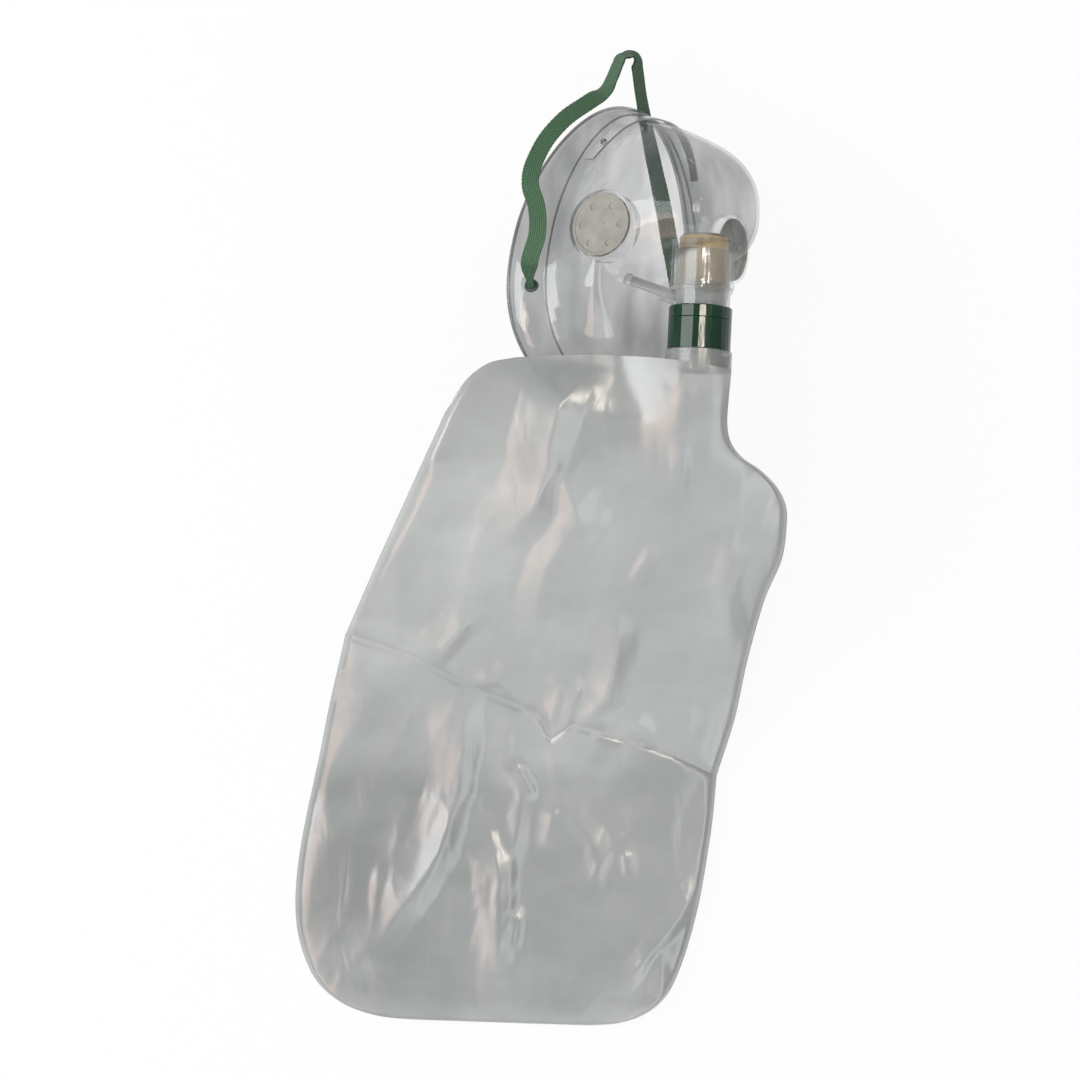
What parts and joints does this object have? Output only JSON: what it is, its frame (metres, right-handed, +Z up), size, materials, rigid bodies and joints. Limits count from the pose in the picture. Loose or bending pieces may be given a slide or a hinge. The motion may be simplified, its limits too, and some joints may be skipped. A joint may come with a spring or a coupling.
{
  "type": "oxygen face mask",
  "caption": "Clear oxygen face mask with side vents, nose clip, elastic strap, valved adapter and a reservoir bag, lying on a table.",
  "frame": {"origin": "centre of the part's footprint on the table", "axes": "+Z up from the table, +Y from the closed end of the bag towards the mask's nose end, +X to the right of the picture"},
  "size_m": [0.2208, 0.4394, 0.107],
  "materials": {
    "clear_vinyl": "clear, smooth",
    "bag_film": "thin clear film, wrinkled",
    "cream_silicone": "satin",
    "green_plastic": "glossy",
    "green_elastic": "knitted elastic",
    "clip_aluminium": "satin"
  },
  "bodies": {
    "root": {"mask_shell": "clear_vinyl", "vent_flap_left": "cream_silicone", "vent_flap_right": "cream_silicone", "nose_clip": "clip_aluminium", "head_strap": "green_elastic", "bag_adapter": "clear_vinyl", "inhalation_valve_seat": "cream_silicone", "inhalation_flap": "cream_silicone", "bag_collar": "green_plastic", "bag_flange": "cream_silicone", "reservoir_bag": "bag_film"}
  },
  "joints": []
}
